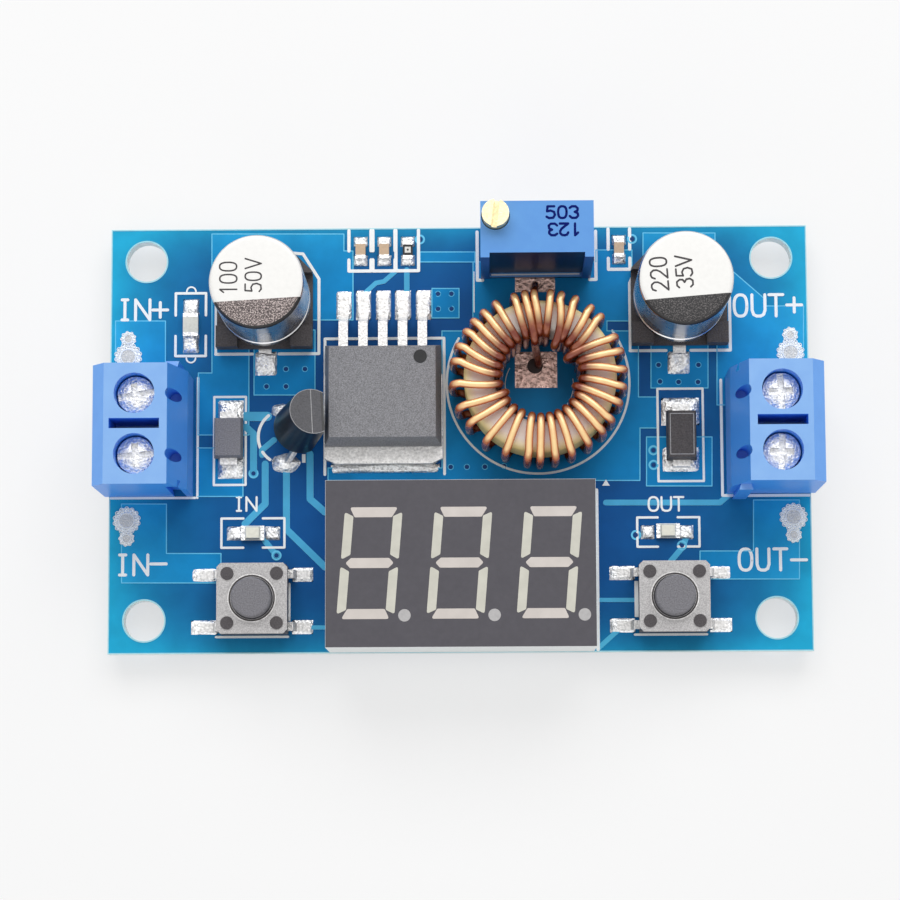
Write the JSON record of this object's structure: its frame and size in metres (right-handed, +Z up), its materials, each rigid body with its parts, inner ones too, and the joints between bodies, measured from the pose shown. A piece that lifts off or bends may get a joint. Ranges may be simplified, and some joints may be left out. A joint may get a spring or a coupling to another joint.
{
  "type": "buck converter module",
  "caption": "Adjustable step-down converter board with screw terminals, wound ring inductor, two buttons and a three-digit voltmeter display.",
  "frame": {"origin": "centre of the four mounting holes, on the underside of the board", "axes": "+Z up through the fitted side, +X along the board from the input terminals to the output terminals, +Y away from the voltmeter display"},
  "size_m": [0.0612, 0.0373, 0.0147],
  "materials": {
    "board_blue": "blue solder mask over glass-fibre laminate, glossy",
    "solder": "bright solder, slightly lumpy",
    "terminal_blue": "moulded sky-blue nylon, satin",
    "tinned_metal": "tin-plated copper alloy",
    "zinc_screw": "bright zinc-plated steel",
    "cage_steel": "nickel-plated steel",
    "can_aluminium": "bright drawn aluminium with a printed segment",
    "black_plastic": "black moulded plastic",
    "regulator_epoxy": "grey-black moulding compound, fine grain",
    "core_yellow": "pale yellow coated iron-powder core, satin",
    "enamelled_copper": null,
    "trimmer_blue": "moulded blue plastic, glossy",
    "trimmer_brass": "turned brass",
    "display_white": "white moulded reflector",
    "display_dark": "dark grey printed face",
    "segment_milky": "milky cast resin, unlit",
    "switch_steel": "stamped steel, satin",
    "button_grey": "dark grey moulded plastic",
    "led_resin": "clear resin over a white base",
    "chip_tan": "tan fired ceramic",
    "chip_black": "black glaze on ceramic"
  },
  "bodies": {
    "module": {"circuit_board": "board_blue", "wire_pad_solder": "solder", "underside_solder": "solder", "input_terminal_housing": "terminal_blue", "output_terminal_housing": "terminal_blue", "input_terminal_contacts": "tinned_metal", "output_terminal_contacts": "tinned_metal", "input_capacitor_can": "can_aluminium", "input_capacitor_base": "black_plastic", "input_capacitor_leads": "tinned_metal", "output_capacitor_can": "can_aluminium", "output_capacitor_base": "black_plastic", "output_capacitor_leads": "tinned_metal", "regulator_case": "regulator_epoxy", "regulator_tab": "tinned_metal", "regulator_leads": "tinned_metal", "inductor_core": "core_yellow", "inductor_winding": "enamelled_copper", "trimmer_body": "trimmer_blue", "trimmer_pins": "tinned_metal", "display_housing": "display_white", "display_face": "display_dark", "display_segments": "segment_milky", "display_pins": "tinned_metal", "left_switch_base": "black_plastic", "left_switch_cover": "switch_steel", "left_switch_dome": "switch_steel", "left_switch_terminals": "tinned_metal", "right_switch_base": "black_plastic", "right_switch_cover": "switch_steel", "right_switch_dome": "switch_steel", "right_switch_terminals": "tinned_metal", "transistor_body": "black_plastic", "transistor_legs": "tinned_metal", "input_diode_body": "black_plastic", "input_diode_terminals": "tinned_metal", "catch_diode_body": "black_plastic", "catch_diode_terminals": "tinned_metal", "led_bases": "display_white", "led_lenses": "led_resin", "chip_capacitor_bodies": "chip_tan", "chip_resistor_bodies": "chip_black", "chip_terminations": "solder", "meter_chip_body": "black_plastic", "meter_chip_leads": "tinned_metal"},
    "input_positive_screw": {"input_positive_screw": "zinc_screw"},
    "input_negative_screw": {"input_negative_screw": "zinc_screw"},
    "output_positive_screw": {"output_positive_screw": "zinc_screw"},
    "output_negative_screw": {"output_negative_screw": "zinc_screw"},
    "input_positive_cage": {"input_positive_cage": "cage_steel"},
    "input_negative_cage": {"input_negative_cage": "cage_steel"},
    "output_positive_cage": {"output_positive_cage": "cage_steel"},
    "output_negative_cage": {"output_negative_cage": "cage_steel"},
    "left_button": {"left_switch_button": "button_grey"},
    "right_button": {"right_switch_button": "button_grey"},
    "trimmer_screw": {"trimmer_screw": "trimmer_brass"}
  },
  "joints": [
    {"name": "input_positive_screw_turn", "type": "hinge", "parent": "module", "child": "input_positive_screw", "pos_m": [-0.02695, 0.00269, 0.0105], "axis": [0, 0, -1], "range_deg": [0, 1080]},
    {"name": "input_positive_cage_rise", "type": "slide", "parent": "module", "child": "input_positive_cage", "axis": [0, 0, 1], "range_m": [0, 0.0015]},
    {"name": "input_negative_screw_turn", "type": "hinge", "parent": "module", "child": "input_negative_screw", "pos_m": [-0.02695, -0.00239, 0.0105], "axis": [0, 0, -1], "range_deg": [0, 1080]},
    {"name": "input_negative_cage_rise", "type": "slide", "parent": "module", "child": "input_negative_cage", "axis": [0, 0, 1], "range_m": [0, 0.0015]},
    {"name": "output_positive_screw_turn", "type": "hinge", "parent": "module", "child": "output_positive_screw", "pos_m": [0.02695, 0.00269, 0.0105], "axis": [0, 0, -1], "range_deg": [0, 1080]},
    {"name": "output_positive_cage_rise", "type": "slide", "parent": "module", "child": "output_positive_cage", "axis": [0, 0, 1], "range_m": [0, 0.0015]},
    {"name": "output_negative_screw_turn", "type": "hinge", "parent": "module", "child": "output_negative_screw", "pos_m": [0.02695, -0.00239, 0.0105], "axis": [0, 0, -1], "range_deg": [0, 1080]},
    {"name": "output_negative_cage_rise", "type": "slide", "parent": "module", "child": "output_negative_cage", "axis": [0, 0, 1], "range_m": [0, 0.0015]},
    {"name": "left_button_press", "type": "slide", "parent": "module", "child": "left_button", "axis": [0, 0, -1], "range_m": [0, 0.00025], "stiffness_N_per_m": 4000},
    {"name": "right_button_press", "type": "slide", "parent": "module", "child": "right_button", "axis": [0, 0, -1], "range_m": [0, 0.00025], "stiffness_N_per_m": 4000},
    {"name": "trimmer_turn", "type": "hinge", "parent": "module", "child": "trimmer_screw", "pos_m": [0.00322, 0.01748, 0.011], "axis": [0, 0, 1], "continuous": true}
  ],
  "couplings": [
    {"joint": "input_positive_screw_turn", "follows": "input_positive_cage_rise", "rad_per_m": 12566},
    {"joint": "input_negative_screw_turn", "follows": "input_negative_cage_rise", "rad_per_m": 12566},
    {"joint": "output_positive_screw_turn", "follows": "output_positive_cage_rise", "rad_per_m": 12566},
    {"joint": "output_negative_screw_turn", "follows": "output_negative_cage_rise", "rad_per_m": 12566}
  ]
}
